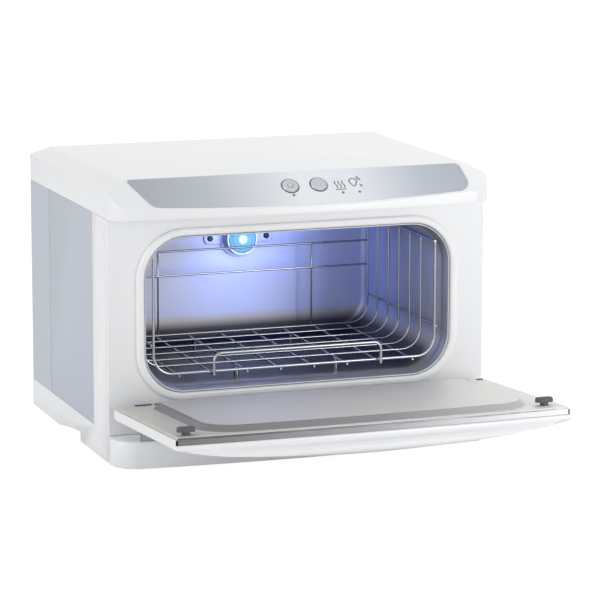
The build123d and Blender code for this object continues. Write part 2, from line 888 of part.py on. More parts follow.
def press_outline(inset):
    """Outline of the raised field, whose front edge follows the door's."""
    front_side = door_length + door_bow - press_gap - press_bow - inset
    wide = press_half - inset
    low = press_low + inset
    with BuildLine() as edge:
        ThreePointArc((-wide, front_side), (0, front_side + press_bow), (wide, front_side))
        Polyline((wide, front_side), (wide, low), (-wide, low), (-wide, front_side))
    corners = make_face(edge.edges()).vertices()
    front_corners = [v for v in corners if abs(v.Y - front_side) < 0.01]
    back_corners = [v for v in corners if abs(v.Y - low) < 0.01]
    fillet(front_corners, press_corner - inset)
    fillet(back_corners, press_rear_corner - inset)


with BuildPart() as door_inner_sheet:
    with BuildSketch(door_plane.offset(-fold_front)):
        door_outline(0)
    extrude(amount=fold_front)
    with BuildSketch(door_plane.offset(-fold_front)):
        door_outline(-sheet)
    extrude(amount=fold_front - sheet, mode=Mode.SUBTRACT)
    with BuildSketch(door_plane.offset(-fold_front)):
        with Locations((0, (door_length - 8) / 2)):
            Rectangle(2 * door_half + 10, door_length)
    extrude(amount=fold_front - fold_side, mode=Mode.SUBTRACT)
    with BuildSketch(door_plane):
        press_outline(0)
    extrude(amount=press_height)
    door_axis = Axis(door_origin, door_up)
    fillet(door_inner_sheet.edges().group_by(door_axis)[-1], 1.6)
    with BuildSketch(door_plane.offset(-sheet)):
        press_outline(sheet)
    extrude(amount=press_height, mode=Mode.SUBTRACT)
save(door_inner_sheet, "door_inner_sheet")


def door_body(inset):
    """Door's outer form below the steel, or with an inset the space inside it."""
    side_depth = -shell_side_depth + inset
    middle_depth = -shell_middle_depth + inset
    wide = door_half + rim - inset
    back = shell_start + inset
    back_low = -shell_back_depth + inset
    front_low = -shell_front_depth + inset
    heel_spot = (heel[0] + inset, -heel[1] + inset)
    chin_spot = (chin[0] - inset, -chin[1] + inset)
    front = door_length + door_bow + rim - inset
    with BuildPart() as body:
        with BuildSketch(door_plane.offset(-60)):
            bowed_door(wide, back, door_length + rim - inset, front)
        extrude(amount=60)
        with BuildSketch(door_across):
            with BuildLine():
                Polyline((wide + 1, side_depth), (wide + 1, 1), (-wide - 1, 1), (-wide - 1, side_depth))
                ThreePointArc((-wide - 1, side_depth), (0, middle_depth), (wide + 1, side_depth))
            make_face()
        extrude(amount=2 * door_length, both=True, mode=Mode.INTERSECT)
        with BuildSketch(door_side):
            with BuildLine():
                Polyline((back, back_low), (back, 1), (front + 1, 1), (front + 1, front_low))
                ThreePointArc((front + 1, front_low), chin_spot, (belly_front, middle_depth - 1))
                Line((belly_front, middle_depth - 1), (belly_back, middle_depth - 1))
                ThreePointArc((belly_back, middle_depth - 1), heel_spot, (back, back_low))
            make_face()
        extrude(amount=2 * half, both=True, mode=Mode.INTERSECT)
    return body.part


def cut_slots(play):
    """Clear the hinge slots and the finger groove out of the open part, with this play."""
    slot_long = 22.0
    with BuildSketch(door_plane.offset(-60)) as slots:
        with Locations((-hinge_x, 19 + play - slot_long / 2), (hinge_x, 19 + play - slot_long / 2)):
            Rectangle(hinge_slot + 2 * play, slot_long)
    extrude(slots.sketch, amount=60, mode=Mode.SUBTRACT)
    with BuildSketch(door_side) as groove:
        with Locations((door_length + door_bow + rim + groove_reach, -groove_depth)):
            Circle(groove_radius + play)
    extrude(groove.sketch, amount=half, both=True, mode=Mode.SUBTRACT)


door_form = door_body(0)
with BuildPart() as door_hollow:
    add(door_body(shell_wall))
    cut_slots(shell_wall)

with BuildPart() as door_outer_shell:
    add(door_form)
    add(door_hollow.part, mode=Mode.SUBTRACT)
    cut_slots(0)
    with BuildSketch(door_plane.offset(-shell_top)):
        with Locations((0, door_length / 2)):
            Rectangle(2 * half + 20, 2 * door_length)
    extrude(amount=shell_top + 2, mode=Mode.SUBTRACT)
    with BuildSketch(door_plane.offset(-fold_front - 0.2)):
        with Locations((0, door_length)):
            Rectangle(2 * (door_half + 0.2), 30)
    extrude(amount=fold_front, mode=Mode.SUBTRACT)
save(door_outer_shell, "door_outer_shell")

with BuildPart() as door_foam:
    add(door_body(shell_wall + foam_play))
    cut_slots(shell_wall + foam_play)
    with BuildSketch(door_plane.offset(-60)):
        bowed_door(door_half - 3, 3, door_length - 3, door_length + door_bow - 3)
    extrude(amount=60 - sheet - foam_play, mode=Mode.INTERSECT)
save(door_foam, "door_foam")


def make_leaf(name, side):
    """Bracket under the door with two cheeks that hold the hinge pin."""
    cheek = 3.0
    leaf_top = sheet + 0.1
    leaf_wide = hinge_slot - 2
    start = side * hinge_x + leaf_wide / 2
    with BuildPart() as leaf:
        for offset_x in (0, leaf_wide - cheek):
            with BuildSketch(door_side.offset(offset_x - start)):
                with Locations((hinge_along, -hinge_below)):
                    Circle(5)
                with Locations((hinge_along, -(hinge_below + leaf_top) / 2)):
                    Rectangle(10, hinge_below - leaf_top)
                with Locations((hinge_along, -hinge_below)):
                    Circle(pin_radius + 0.02, mode=Mode.SUBTRACT)
            extrude(amount=cheek)
        with BuildSketch(door_side.offset(-start)):
            with Locations((hinge_along + 1.1, -leaf_top - 1)):
                Rectangle(15, 2)
        extrude(amount=leaf_wide)
    save(leaf, name)


def make_pin(name, side):
    start = side * hinge_x + hinge_slot / 2 - 1
    with BuildPart() as pin:
        with BuildSketch(door_side.offset(-start)):
            with Locations((hinge_along, -hinge_below)):
                Circle(pin_radius)
        extrude(amount=hinge_slot - 2)
    save(pin, name)


def make_catch(name, x, along):
    """Magnet under a flat oval head, on a short neck."""
    with BuildPart() as catch:
        with BuildSketch(door_plane):
            with Locations((-x, along)):
                Circle(4)
        extrude(amount=catch_neck)
        with BuildSketch(door_plane.offset(catch_neck)):
            with Locations((-x, along)):
                SlotOverall(catch_long, catch_wide)
        extrude(amount=catch_height - catch_neck)
        fillet(catch.edges().group_by(Axis(door_origin, door_up))[-1], 2.4)
    save(catch, name)


for word, side in (("left", -1), ("right", 1)):
    make_leaf(f"hinge_leaf_{word}", side)
    make_pin(f"hinge_pin_{word}", side)
    make_catch(f"door_catch_{word}", *catch_spots[word])
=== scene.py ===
import json
from math import cos, pi, radians, sin, sqrt

import bmesh
import bpy
from mathutils import Matrix, Vector


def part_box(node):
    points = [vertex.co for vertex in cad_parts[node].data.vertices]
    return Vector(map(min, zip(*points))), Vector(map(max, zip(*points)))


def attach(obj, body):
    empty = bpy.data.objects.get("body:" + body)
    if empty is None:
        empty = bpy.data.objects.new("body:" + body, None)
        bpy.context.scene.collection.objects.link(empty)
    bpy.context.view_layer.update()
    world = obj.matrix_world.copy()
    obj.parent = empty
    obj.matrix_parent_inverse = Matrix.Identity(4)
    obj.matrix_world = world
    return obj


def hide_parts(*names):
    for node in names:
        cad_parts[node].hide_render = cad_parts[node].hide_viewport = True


# Looks of a countertop ultraviolet towel warmer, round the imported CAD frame.
# Places are worked out in metres from the frame. Outlines and profiles are drawn in real
# millimetres and turned into metres by MM, as are the sizes named _mm.

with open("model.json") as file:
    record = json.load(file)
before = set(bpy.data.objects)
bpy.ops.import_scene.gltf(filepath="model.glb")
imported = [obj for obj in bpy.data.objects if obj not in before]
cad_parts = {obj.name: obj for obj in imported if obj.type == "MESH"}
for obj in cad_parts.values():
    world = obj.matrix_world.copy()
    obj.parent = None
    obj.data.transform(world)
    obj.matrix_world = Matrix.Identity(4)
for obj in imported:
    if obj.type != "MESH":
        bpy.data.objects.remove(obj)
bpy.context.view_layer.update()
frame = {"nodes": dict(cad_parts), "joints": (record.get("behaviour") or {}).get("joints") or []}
MM = 0.001
# Points closer than this, in metres, are one point
weld_gap = 0.00001


# Helpers for colours, nodes and meshes


def srgb(code):
    """Linear colour of an sRGB hex code."""
    values = [int(code[i : i + 2], 16) / 255 for i in (1, 3, 5)]
    return tuple(v / 12.92 if v <= 0.04045 else ((v + 0.055) / 1.055) ** 2.4 for v in values) + (1,)


def add(tree, kind, settings=None, **links):
    """A shader node with its settings, and its inputs linked or set by name."""
    node = tree.nodes.new("ShaderNode" + kind)
    for key, value in (settings or {}).items():
        setattr(node, key, value)
    for name, value in links.items():
        socket = node.inputs[name.replace("_", " ")]
        if isinstance(value, bpy.types.NodeSocket):
            tree.links.new(value, socket)
        else:
            socket.default_value = value
    return node


def new_material(name, **shader):
    """A material whose Principled shader takes these values, and its tree."""
    material = bpy.data.materials.new(name)
    material.use_nodes = True
    tree = material.node_tree
    main = tree.nodes["Principled BSDF"]
    for key, value in shader.items():
        main.inputs[key.replace("_", " ")].default_value = value
    return material, tree, main


def place(tree):
    """Object coordinates, which are the frame's own metres."""
    return add(tree, "TexCoord").outputs["Object"]


def add_grain(tree, main, grain_mm, height, rough):
    """Fine bump of this grain, if any, and a slow change between two roughnesses."""
    where = place(tree)
    if height:
        fine = add(tree, "TexNoise", Vector=where, Scale=1 / (grain_mm * MM), Detail=2.0)
        bump = add(tree, "Bump", Height=fine.outputs["Fac"], Strength=height, Distance=0.0002)
        tree.links.new(bump.outputs["Normal"], main.inputs["Normal"])
    slow = add(tree, "TexNoise", Vector=where, Scale=1 / (40 * MM), Detail=1.0)
    spread = add(tree, "MapRange", Value=slow.outputs["Fac"], To_Min=rough[0], To_Max=rough[1])
    tree.links.new(spread.outputs["Result"], main.inputs["Roughness"])


def dress(node, material, edge_mm=0.0):
    """Give a CAD node its material, its smooth curves and, if asked, softened edges."""
    thing = frame["nodes"][node]
    thing.data.materials.clear()
    thing.data.materials.append(material)
    for face in thing.data.polygons:
        face.use_smooth = True
    weld = thing.modifiers.new("weld", "WELD")
    weld.merge_threshold = weld_gap
    if edge_mm:
        soft = thing.modifiers.new("edges", "BEVEL")
        soft.width = edge_mm * MM
        soft.segments = 2
        soft.limit_method = "ANGLE"
        soft.angle_limit = radians(40)
        soft.use_clamp_overlap = False
        soft.harden_normals = True
    else:
        split = thing.modifiers.new("creases", "EDGE_SPLIT")
        split.split_angle = radians(32)


def keep(bm, name, body, material, stands_for=(), smooth_angle=32):
    """Turn a finished bmesh into a named piece that rides on its body."""
    mesh = bpy.data.meshes.new(name)
    bm.to_mesh(mesh)
    bm.free()
    for face in mesh.polygons:
        face.use_smooth = True
    mesh.set_sharp_from_angle(angle=radians(smooth_angle))
    piece = bpy.data.objects.new(name, mesh)
    bpy.context.scene.collection.objects.link(piece)
    for one in material if isinstance(material, (list, tuple)) else [material]:
        mesh.materials.append(one)
    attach(piece, body)
    if stands_for:
        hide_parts(*stands_for)
    return piece


# Places taken from the frame
face_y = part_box("front_fascia")[0].y
back_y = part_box("rear_shell")[1].y
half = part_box("front_plinth")[1].x
cover_low, cover_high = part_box("top_cover")
lamp_low, lamp_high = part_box("uv_lamp")
lamp_x = (lamp_low.x + lamp_high.x) / 2
lamp_z = (lamp_low.z + lamp_high.z) / 2
press = next(j for j in frame["joints"] if j["name"] == "power_press")

# Sloped control front: starts at the middle of its top edge, behind the fascia's face
slope_setback = 8 * MM
slope_normal = -Vector(press["axis"])
slope_up = Vector((0, slope_normal.z, -slope_normal.y))
slope_start = Vector((0, face_y + slope_setback, cover_high.z))


def on_slope(across, down, lift=0.0):
    """Point on the control front, from millimetres across, down and off it."""
    return slope_start + Vector((across * MM, 0, 0)) - slope_up * (down * MM) + slope_normal * (lift * MM)


# Materials


def make_plastic(name, colour, rough, grain_mm=3.0, height=0.0, cloud=None):
    """Plastic, either polished with a faint cloud of a second colour or with a fine grain."""
    material, tree, main = new_material(name, IOR=1.5, Roughness=rough)
    main.inputs["Base Color"].default_value = srgb(colour)
    if cloud:
        slow = add(tree, "TexNoise", Vector=place(tree), Scale=1 / (45 * MM), Detail=1.0)
        ramp = add(tree, "ValToRGB", Fac=slow.outputs["Fac"])
        ramp.color_ramp.elements[0].color = srgb(colour)
        ramp.color_ramp.elements[1].color = srgb(cloud)
        tree.links.new(ramp.outputs["Color"], main.inputs["Base Color"])
    else:
        add_grain(tree, main, grain_mm, height, rough=(rough, rough + 0.06))
    return material


def make_metal(name, colour, rough, stretch=(1, 1, 1), grain_mm=0.5, metallic=1.0):
    """Metal with a fine grain, drawn out by the stretch, in its bump and its roughness."""
    material, tree, main = new_material(name, Metallic=metallic)
    main.inputs["Base Color"].default_value = srgb(colour)
    where = place(tree)
    along = add(tree, "Mapping", Vector=where, Scale=stretch)
    fine = add(tree, "TexNoise", Vector=along.outputs["Vector"], Scale=1 / (grain_mm * MM), Detail=3.0)
    bump = add(tree, "Bump", Height=fine.outputs["Fac"], Strength=0.04, Distance=0.0001)
    tree.links.new(bump.outputs["Normal"], main.inputs["Normal"])
    spread = add(tree, "MapRange", Value=fine.outputs["Fac"], To_Min=rough, To_Max=rough + 0.05)
    tree.links.new(spread.outputs["Result"], main.inputs["Roughness"])
    return material


# Injection-moulded ABS: white, glossy, with the faint unevenness of a polished mould
white_abs = make_plastic("white_abs_gloss", "#EEEFF1", 0.24, cloud="#F1F2F3")
# Silicone extrusion: white, soft highlights
white_silicone = make_plastic("white_silicone_satin", "#F1F2F4", 0.42, cloud="#F4F5F6")
# Steel sheet with a blue-grey baked coat, satin
coated_steel = make_plastic("coated_steel_blue_grey", "#BDC4CE", 0.34, grain_mm=0.8, height=0.05)
# Moulded black rubber, matt
black_rubber = make_plastic("black_rubber_matt", "#161618", 0.7, grain_mm=0.6, height=0.2)
# Moulded dark grey plastic over the magnets
grey_plastic = make_plastic("grey_plastic_satin", "#4E5053", 0.45)
# Cream and black plastic of the electrical parts
cream_plastic = make_plastic("cream_plastic", "#DCD4B8", 0.5)
black_plastic = make_plastic("black_plastic", "#1A1A1C", 0.45)
circuit_green = make_plastic("circuit_board_green", "#1D5A33", 0.35)
silicone_red = make_plastic("heater_silicone_red", "#8F3A22", 0.6)
wool_yellow = make_plastic("glass_wool_yellow", "#D8C87C", 0.9, grain_mm=2.5, height=0.9)
foam_cream = make_plastic("foam_cream", "#E2DCC8", 0.9, grain_mm=1.5, height=0.6)
# Stainless sheet of the door, smooth with a faint brushing across it
brushed = (0.04, 1, 1)
door_steel = make_metal("stainless_sheet_brushed", "#C9CACC", 0.44, brushed, grain_mm=0.6, metallic=0.45)
# The same sheet, darker where it is pressed or folded over: painted shade and dark reflection on the field's
# walls and the front fold
fold_shade_steel = make_metal("stainless_sheet_fold_shade", "#8A8B8E", 0.36, brushed, grain_mm=0.6, metallic=0.72)


def paint_shade_across(material, stops):
    """Painted shade and reflection: colour that changes from the left end of the door to its right, as
    (millimetres, hex).
    """
    tree = material.node_tree
    split = add(tree, "SeparateXYZ", Vector=place(tree))
    share = add(tree, "MapRange", Value=split.outputs["X"], From_Min=-half, From_Max=half)
    ramp = add(tree, "ValToRGB")
    tree.links.new(share.outputs["Result"], ramp.inputs["Fac"])
    marks = ramp.color_ramp.elements
    for mark, (x, colour) in zip(marks, (stops[0], stops[-1])):
        mark.position, mark.color = (x * MM + half) / (2 * half), srgb(colour)
    for x, colour in stops[1:-1]:
        marks.new((x * MM + half) / (2 * half)).color = srgb(colour)
    tree.links.new(ramp.outputs["Color"], tree.nodes["Principled BSDF"].inputs["Base Color"])


# Painted shade and reflection: both door sheets darker at the left end, lighter towards the middle and right
paint_shade_across(door_steel, [(-190, "#CCCAC4"), (0, "#E4E1DA"), (190, "#E2E2E0")])
paint_shade_across(fold_shade_steel, [(-190, "#77787B"), (0, "#8E8F92"), (190, "#C4C5C8")])

# Chromed wire, and rolled steel either bright or satin
wire_chrome = make_metal("chromed_wire", "#B4B6BB", 0.16)
bright_steel = make_metal("bright_rolled_steel", "#AEB0B4", 0.2)
satin_steel = make_metal("satin_rolled_steel", "#C9CACD", 0.4, metallic=0.8)
# Anodised aluminium sheet of the chamber, satin and pale
pale_sheet = "#C6CCDA"
chamber_sheet = make_metal("anodised_aluminium_sheet", pale_sheet, 0.36, grain_mm=0.8, metallic=0.45)
# The same sheet with painted shade on the tank floor, from grey in front to dark deeper in
tank_floor_shade_sheet = make_metal("tank_floor_painted_shade", pale_sheet, 0.36, grain_mm=0.8, metallic=0.45)


def paint_tank_floor_shade():
    """Painted shade on the tank's floor: its sheet darkens from grey in front to dark deeper in."""
    tree = tank_floor_shade_sheet.node_tree
    split = add(tree, "SeparateXYZ", Vector=place(tree))
    floor_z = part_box("chamber_tank")[0].z
    low = add(
        tree, "MapRange", Value=split.outputs["Z"], From_Min=floor_z + 4 * MM, From_Max=floor_z + 30 * MM,
        To_Min=1, To_Max=0,
    )
    deep = add(
        tree, "MapRange", Value=split.outputs["Y"], From_Min=face_y + 14 * MM, From_Max=face_y + 40 * MM,
        To_Min=0.25, To_Max=1,
    )
    share = add(tree, "Math", {"operation": "MULTIPLY"})
    tree.links.new(low.outputs["Result"], share.inputs[0])
    tree.links.new(deep.outputs["Result"], share.inputs[1])
    # Painted shade: grey near the front of the floor, dark deeper in
    ramp = add(tree, "ValToRGB", Fac=share.outputs["Value"])
    stops = ramp.color_ramp.elements
    stops[0].color = srgb(pale_sheet)
    stops[1].color = srgb("#2E2E30")
    for at, colour in ((0.25, "#C2BCAC"), (0.6, "#55524C")):
        stops.new(at).color = srgb(colour)
    tree.links.new(ramp.outputs["Color"], tree.nodes["Principled BSDF"].inputs["Base Color"])


paint_tank_floor_shade()
# Plated and blackened steel of the fittings
zinc_steel = make_metal("zinc_plated_steel", "#A7A9AC", 0.4)
blackened_steel = make_metal("blackened_steel", "#4A4E5C", 0.4)


# Half the length of the film on the control front, in millimetres
film_half = 178


def make_panel_silver():
    """Metallic film on plastic with a painted reflection: darker towards its ends and light in the middle."""
    material, tree, main = new_material("silver_film", Metallic=0.35, Roughness=0.3)
    split = add(tree, "SeparateXYZ", Vector=place(tree))
    ramp = add(tree, "ValToRGB")
    share = add(
        tree, "MapRange", Value=split.outputs["X"], From_Min=-film_half * MM, From_Max=film_half * MM
    )
    tree.links.new(share.outputs["Result"], ramp.inputs["Fac"])
    stops = ramp.color_ramp.elements
    stops[0].position, stops[0].color = 0.0, srgb("#A8ADB7")
    stops[1].position, stops[1].color = 1.0, srgb("#AEB4BE")
    for at, colour in ((0.22, "#BBC1CA"), (0.5, "#E9ECF0"), (0.66, "#E3E7EC"), (0.86, "#BAC1CB")):
        stops.new(at).color = srgb(colour)
    tree.links.new(ramp.outputs["Color"], main.inputs["Base Color"])
    return material


silver_film = make_panel_silver()

# Smoked lens of the status lights, unlit
status_glass, _, status_main = new_material("status_light_glass", Roughness=0.15)
status_main.inputs["Base Color"].default_value = srgb("#7A8088")

# CAD nodes that stay, each with the millimetres its edges are softened by
dressing = {
    white_abs: [
        ("front_fascia", 0), ("front_plinth", 1.2), ("side_frame_left", 0.8), ("side_frame_right", 0.8),
    ],
    coated_steel: [("side_panel_left", 0.7), ("side_panel_right", 0.7), ("rear_shell", 0)],
    black_rubber: [("rubber_feet", 0), ("cord_gland", 0)],
    zinc_steel: [
        ("base_tray", 0), ("rear_posts", 0), ("strike_plate_left", 0), ("strike_plate_right", 0),
        ("hinge_bracket_left", 0), ("hinge_bracket_right", 0), ("hinge_leaf_left", 0),
        ("hinge_leaf_right", 0),
    ],
    bright_steel: [("rear_screws", 0), ("hinge_pin_left", 0), ("hinge_pin_right", 0), ("thermal_fuse", 0)],
    blackened_steel: [("lamp_screws", 0)],
    white_silicone: [("door_gasket", 0)],
    tank_floor_shade_sheet: [("chamber_tank", 0)],
    chamber_sheet: [("lamp_flange", 0), ("lamp_holder", 0)],
    wool_yellow: [("tank_insulation", 0)],
    foam_cream: [("door_foam", 0)],
    silicone_red: [("heater_pad", 0)],
    black_plastic: [("thermostat", 0), ("button_switches", 0)],
    cream_plastic: [("terminal_block", 0), ("lamp_ballast", 0)],
    silver_film: [("control_overlay", 0)],
    circuit_green: [("control_board", 0)],
    status_glass: [("indicator_lights", 0)],
    wire_chrome: [
        ("basket_side_left", 0), ("basket_side_right", 0), ("basket_floor", 0),
        ("basket_front_guard", 0), ("basket_back_guard", 0),
    ],
    grey_plastic: [("door_catch_left", 0), ("door_catch_right", 0)],
}
for material, nodes in dressing.items():
    for node, edge_mm in nodes:
        dress(node, material, edge_mm)


# Top cover: its bevels run in by these from the sides and the back, and end this far down
side_run = 18.6 * MM
back_run = 22.5 * MM
bevel_drop = 10.2 * MM


def make_cover():
    """One moulding: a bowed band, bevelled sides and back, and the sloped control front."""
    low_z = cover_low.z
    front_mid = cover_low.y
    front_side = face_y - 20 * MM
    corner = 19 * MM
    bm = bmesh.new()
    # Plan: right half of the bowed front, with its round corner, then mirrored
    bow = front_side - front_mid
    spots = []
    turns = 8
    corner_x = half - corner
    corner_y = front_mid + bow * (corner_x / half) ** 2 + corner
    for i in range(12):
        x = corner_x * i / 12
        spots.append((x, front_mid + bow * (x / half) ** 2))
    for i in range(turns + 1):
        a = -pi / 2 + pi / 2 * i / turns
        spots.append((corner_x + corner * cos(a), corner_y + corner * sin(a)))
    back_corner = 6 * MM
    for i in range(5):
        a = pi / 2 * i / 4
        spots.append((half - back_corner + back_corner * cos(a), back_y - back_corner + back_corner * sin(a)))
    outline = spots + [(-x, y) for x, y in reversed(spots[1:])]
    base = bm.faces.new([bm.verts.new((x, y, low_z)) for x, y in outline])
    raised = bmesh.ops.extrude_face_region(bm, geom=[base])
    top = [v for v in raised["geom"] if isinstance(v, bmesh.types.BMVert)]
    bmesh.ops.translate(bm, verts=top, vec=(0, 0, cover_high.z - low_z))
    bmesh.ops.recalc_face_normals(bm, faces=bm.faces)
    side_top = cover_high.z - bevel_drop
    planes = [
        (slope_start, slope_normal),
        (Vector((half, 0, side_top)), Vector((bevel_drop, 0, side_run)).normalized()),
        (Vector((-half, 0, side_top)), Vector((-bevel_drop, 0, side_run)).normalized()),
        (Vector((0, back_y, side_top)), Vector((0, bevel_drop, back_run)).normalized()),
    ]
    for spot, normal in planes:
        everything = bm.verts[:] + bm.edges[:] + bm.faces[:]
        bmesh.ops.bisect_plane(bm, geom=everything, plane_co=spot, plane_no=normal, clear_outer=True)
        rim = [e for e in bm.edges if e.is_boundary]
        bmesh.ops.contextual_create(bm, geom=rim)
    bmesh.ops.dissolve_limit(bm, angle_limit=radians(0.3), verts=bm.verts, edges=bm.edges)
    # Ridges above the band: soft blends, all of one width
    def ridge(e):
        return len(e.link_faces) == 2 and e.calc_face_angle(0) > radians(12)

    upper = [e for e in bm.edges if ridge(e) and min(v.co.z for v in e.verts) > low_z + 1 * MM]
    bmesh.ops.bevel(
        bm, geom=upper, offset=2.6 * MM, segments=4, profile=0.5, affect="EDGES", material=-1,
        clamp_overlap=True,
    )
    # Hollow underneath, so that the moulding shows its wall
    floor_faces = [f for f in bm.faces if f.normal.z < -0.99]
    bmesh.ops.inset_region(bm, faces=floor_faces, thickness=2.5 * MM, use_even_offset=True)
    inner = [f for f in bm.faces if f.normal.z < -0.99 and abs(f.calc_center_median().y) < 0.15]
    inner = [max(inner, key=lambda f: f.calc_area())]
    bmesh.ops.translate(bm, verts=inner[0].verts[:], vec=(0, 0, 2 * MM))
    return keep(bm, "cover_shell", "cabinet", white_abs, ["top_cover"], 24)


make_cover()


# Buttons and symbols: dark ring round each cap as painted shadow of its gap, satin chromed cap and printing
# ink
gap_shadow_grey = make_plastic("painted_gap_shadow", "#6A6E75", 0.5)
cap_chrome = make_metal("satin_chromed_cap", "#C9CCD1", 0.3, grain_mm=0.4)
print_grey = make_plastic("printed_grey_ink", "#5C6067", 0.5)


def stand_on_slope(bm, across, down, lift=0.0):
    """Move a bmesh drawn flat, in metres, to its place on the control front."""
    turn = Matrix(((1, 0, 0), slope_up, slope_normal)).transposed().to_4x4()
    turn.translation = on_slope(across, down, lift)
    bmesh.ops.transform(bm, matrix=turn, verts=bm.verts)


def spin_profile(bm, profile, steps=48):
    """Turn a profile of (radius, height) in millimetres about the upright axis."""
    verts = [bm.verts.new((r * MM, 0, h * MM)) for r, h in profile]
    edges = [bm.edges.new(pair) for pair in zip(verts, verts[1:])]
    bmesh.ops.spin(
        bm, geom=verts + edges, cent=(0, 0, 0), axis=(0, 0, 1), angle=2 * pi, steps=steps, use_merge=True
    )
    bmesh.ops.remove_doubles(bm, verts=bm.verts, dist=1e-6)
    bmesh.ops.recalc_face_normals(bm, faces=bm.faces)


def make_button_cap(name, across):
    """Domed cap with a groove inside its rim."""
    bm = bmesh.new()
    spin_profile(bm, [
        (0, -3.8), (8.4, -3.8), (8.4, 1.3), (8.1, 1.75), (7.5, 1.9), (6.9, 1.8), (6.6, 1.45),
        (6.3, 1.4), (6.0, 1.65), (4.5, 1.95), (2.4, 2.1), (0, 2.15),
    ])
    stand_on_slope(bm, across, button_down)
    return keep(bm, f"{name}_cap", name, cap_chrome, [name], 40)


def make_button_shadow_ring(name, across):
    """Dark ring in the panel round a button: painted shadow of the gap round its cap."""
    bm = bmesh.new()
    spin_profile(
        bm, [(8.62, 0.3), (8.62, 1.0), (8.9, 1.25), (9.3, 1.2), (9.5, 0.8), (9.5, 0.3), (8.62, 0.3)]
    )
    stand_on_slope(bm, across, button_down)
    return keep(bm, name, "cabinet", gap_shadow_grey)


def strokes(bm, lines, width_mm, rise_mm=0.12):
    """Raised printed lines, each through points in millimetres, with round ends."""
    for points in lines:
        curve = bpy.data.curves.new("stroke", "CURVE")
        curve.dimensions = "3D"
        curve.bevel_depth = width_mm / 2 * MM
        curve.bevel_resolution = 2
        curve.use_fill_caps = True
        spline = curve.splines.new("POLY")
        spline.points.add(len(points) - 1)
        for point, (x, y) in zip(spline.points, points):
            point.co = (x * MM, y * MM, 0, 1)
        drawn = bpy.data.objects.new("stroke", curve)
        mesh = bpy.data.meshes.new_from_object(drawn)
        bm.from_mesh(mesh)
        bpy.data.objects.remove(drawn)
        bpy.data.curves.remove(curve)
        bpy.data.meshes.remove(mesh)
    bmesh.ops.remove_doubles(bm, verts=bm.verts, dist=1e-7)
    bmesh.ops.scale(bm, vec=(1, 1, rise_mm / (width_mm / 2)), verts=bm.verts)


def arc(cx, cy, radius, start, end, steps=16):
    """Points of an arc in millimetres, angles in degrees."""
    turns = [radians(start + (end - start) * i / steps) for i in range(steps + 1)]
    return [(cx + radius * cos(t), cy + radius * sin(t)) for t in turns]


def make_symbol(name, lines, across, down, lift, width_mm, body="cabinet"):
    """Printed symbol on the control front, from its lines in millimetres."""
    bm = bmesh.new()
    strokes(bm, lines, width_mm)
    stand_on_slope(bm, across, down, lift)
    return keep(bm, name, body, print_grey)


# Places on the control front: buttons across and down it, and the panel's height off it
button_down = 20.0
power_x, uv_x = -12.6, 17.4
panel_face = 0.8
make_button_cap("power_button", power_x)
make_button_cap("uv_button", uv_x)
make_button_shadow_ring("power_button_shadow_ring", power_x)
make_button_shadow_ring("uv_button_shadow_ring", uv_x)
power_lines = [arc(0, -0.2, 2.9, 125, 415, 24), [(0, 0.8), (0, 3.6)]]
make_symbol("power_symbol", power_lines, power_x, button_down, 2.0, 0.7, "power_button")
lamp_lines = [arc(0, 0, 2.6, 0, 360, 24), [(-1.2, -0.8), (1.2, -0.8)], [(-1.2, 0.8), (1.2, 0.8)]]
make_symbol("uv_symbol", lamp_lines, uv_x, button_down, 1.98, 0.6, "uv_button")


def wave(x, tall, swing):
    """Upright wavy line of rising heat, in millimetres."""
    return [(x + swing * sin(2 * pi * i / 16), -tall / 2 + tall * i / 16) for i in range(17)]


heat_lines = [wave(x, 9.5, 1.0) for x in (-3.9, 0, 3.9)] + [[(-5.4, -6.6), (5.4, -6.6)]]
make_symbol("heat_symbol", heat_lines, 39.4, 21.0, panel_face, 1.2)
bulb_lines = [
    arc(-2.2, 1.6, 3.9, -42, 222, 24) + [(-3.2, -4.4), (-1.2, -4.4)] + arc(-2.2, 1.6, 3.9, -42, -41, 1),
    arc(-2.2, 1.6, 6.3, 8, 52, 8),
    arc(-2.2, 1.6, 8.4, 8, 52, 8),
    [(3.6, -3.4), (6.6, -3.4)],
    [(3.6, -5.2), (6.6, -5.2)],
]
make_symbol("lamp_symbol", bulb_lines, 56.5, 19.6, panel_face, 1.15)


# Door: the steel lies on a plane that starts at the door's rear edge; n is the height off it.
door_tilt = radians(3.9)
door_start = Vector((0, face_y - 17.1 * MM, 64.3 * MM))
door_along = Vector((0, -cos(door_tilt), sin(door_tilt)))
door_up = Vector((0, sin(door_tilt), cos(door_tilt)))
door_half = 196.5
door_side_length = 199.3
door_bow = 6.0


def stand_on_door(bm):
    """Move a bmesh drawn as (across, along, up) in metres to the open door."""
    turn = Matrix(((1, 0, 0), door_along, door_up)).transposed().to_4x4()
    turn.translation = door_start
    bmesh.ops.transform(bm, matrix=turn, verts=bm.verts)
    bmesh.ops.reverse_faces(bm, faces=bm.faces)


def bowed_front(half_width, side_length, bow, steps=24):
    """Points along a bowed front edge, from its right end to its left, in millimetres."""
    spots = []
    for i in range(steps + 1):
        x = half_width - 2 * half_width * i / steps
        spots.append((x, side_length + bow * (1 - (x / half_width) ** 2)))
    return spots


def slab(bm, outline, low, high):
    """Closed slab of this outline, in millimetres; returns its top face."""
    base = bm.faces.new([bm.verts.new((x * MM, y * MM, low * MM)) for x, y in outline])
    raised = bmesh.ops.extrude_face_region(bm, geom=[base])
    top = [g for g in raised["geom"] if isinstance(g, bmesh.types.BMFace)]
    verts = [g for g in raised["geom"] if isinstance(g, bmesh.types.BMVert)]
    bmesh.ops.translate(bm, verts=verts, vec=(0, 0, (high - low) * MM))
    return top[0]


